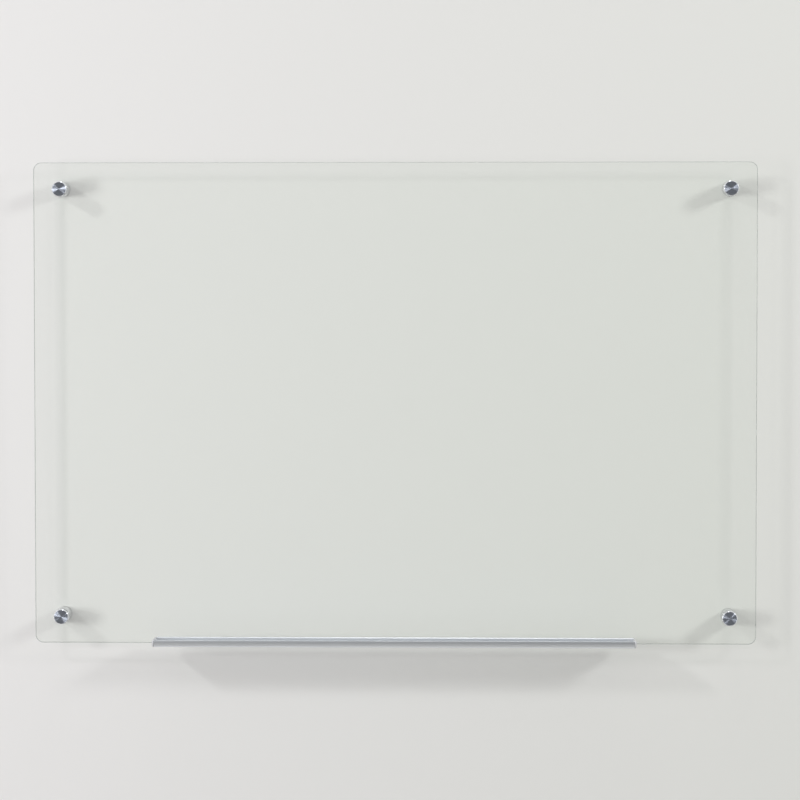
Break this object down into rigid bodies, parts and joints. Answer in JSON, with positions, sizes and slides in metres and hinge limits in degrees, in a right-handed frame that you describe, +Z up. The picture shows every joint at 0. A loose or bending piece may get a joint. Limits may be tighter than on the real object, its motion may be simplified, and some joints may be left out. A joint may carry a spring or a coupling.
{
  "type": "glass whiteboard",
  "caption": "Clear glass writing board held off a wall by metal standoffs with screw caps, with a metal pen tray that slides on its bottom edge.",
  "frame": {"origin": "on the wall plane, behind the centre of the glass, at the middle of the barrels' rear faces", "axes": "+Z up, +X to the right as seen from the room, +Y into the wall; the board faces -Y"},
  "size_m": [0.9, 0.1043, 0.6032],
  "materials": {
    "clear_glass": "polished clear float glass",
    "polished_steel": "polished",
    "spun_steel": "turned",
    "plated_thread": "plated",
    "clear_vinyl": "clear soft plastic",
    "clear_nylon": "clear plastic",
    "zinc_plating": "zinc plated",
    "grey_nylon": "moulded",
    "satin_aluminium": "satin anodised",
    "grey_vinyl": "soft matte",
    "grey_moulding": "fine moulded"
  },
  "bodies": {
    "root": {"glass_panel": "clear_glass", "barrel_top_left": "polished_steel", "rear_washer_top_left": "clear_vinyl", "bush_top_left": "clear_nylon", "wall_screw_top_left": "zinc_plating", "wall_plug_top_left": "grey_nylon", "barrel_top_right": "polished_steel", "rear_washer_top_right": "clear_vinyl", "bush_top_right": "clear_nylon", "wall_screw_top_right": "zinc_plating", "wall_plug_top_right": "grey_nylon", "barrel_bottom_left": "polished_steel", "rear_washer_bottom_left": "clear_vinyl", "bush_bottom_left": "clear_nylon", "wall_screw_bottom_left": "zinc_plating", "wall_plug_bottom_left": "grey_nylon", "barrel_bottom_right": "polished_steel", "rear_washer_bottom_right": "clear_vinyl", "bush_bottom_right": "clear_nylon", "wall_screw_bottom_right": "zinc_plating", "wall_plug_bottom_right": "grey_nylon"},
    "washer_top_left": {"front_washer_top_left": "clear_vinyl"},
    "cap_top_left": {"cap_top_left": "spun_steel", "stud_top_left": "plated_thread"},
    "washer_top_right": {"front_washer_top_right": "clear_vinyl"},
    "cap_top_right": {"cap_top_right": "spun_steel", "stud_top_right": "plated_thread"},
    "washer_bottom_left": {"front_washer_bottom_left": "clear_vinyl"},
    "cap_bottom_left": {"cap_bottom_left": "spun_steel", "stud_bottom_left": "plated_thread"},
    "washer_bottom_right": {"front_washer_bottom_right": "clear_vinyl"},
    "cap_bottom_right": {"cap_bottom_right": "spun_steel", "stud_bottom_right": "plated_thread"},
    "pen_tray": {"pen_tray": "satin_aluminium", "channel_liner": "grey_vinyl", "tray_end_left": "grey_moulding", "tray_end_right": "grey_moulding"}
  },
  "joints": [
    {"name": "cap_travel_top_left", "type": "slide", "parent": "root", "child": "washer_top_left", "axis": [0, -1, 0], "range_m": [0, 0.01]},
    {"name": "cap_turn_top_left", "type": "hinge", "parent": "washer_top_left", "child": "cap_top_left", "pos_m": [-0.417, 0, 0.267], "axis": [0, -1, 0], "range_deg": [0, 2400]},
    {"name": "cap_travel_top_right", "type": "slide", "parent": "root", "child": "washer_top_right", "axis": [0, -1, 0], "range_m": [0, 0.01]},
    {"name": "cap_turn_top_right", "type": "hinge", "parent": "washer_top_right", "child": "cap_top_right", "pos_m": [0.417, 0, 0.267], "axis": [0, -1, 0], "range_deg": [0, 2400]},
    {"name": "cap_travel_bottom_left", "type": "slide", "parent": "root", "child": "washer_bottom_left", "axis": [0, -1, 0], "range_m": [0, 0.01]},
    {"name": "cap_turn_bottom_left", "type": "hinge", "parent": "washer_bottom_left", "child": "cap_bottom_left", "pos_m": [-0.417, 0, -0.267], "axis": [0, -1, 0], "range_deg": [0, 2400]},
    {"name": "cap_travel_bottom_right", "type": "slide", "parent": "root", "child": "washer_bottom_right", "axis": [0, -1, 0], "range_m": [0, 0.01]},
    {"name": "cap_turn_bottom_right", "type": "hinge", "parent": "washer_bottom_right", "child": "cap_bottom_right", "pos_m": [0.417, 0, -0.267], "axis": [0, -1, 0], "range_deg": [0, 2400]},
    {"name": "tray_slide", "type": "slide", "parent": "root", "child": "pen_tray", "axis": [1, 0, 0], "range_m": [-0.14, 0.14]}
  ],
  "couplings": [
    {"joint": "cap_travel_top_left", "follows": "cap_turn_top_left", "m_per_rad": 0.00023873},
    {"joint": "cap_travel_top_right", "follows": "cap_turn_top_right", "m_per_rad": 0.00023873},
    {"joint": "cap_travel_bottom_left", "follows": "cap_turn_bottom_left", "m_per_rad": 0.00023873},
    {"joint": "cap_travel_bottom_right", "follows": "cap_turn_bottom_right", "m_per_rad": 0.00023873}
  ]
}
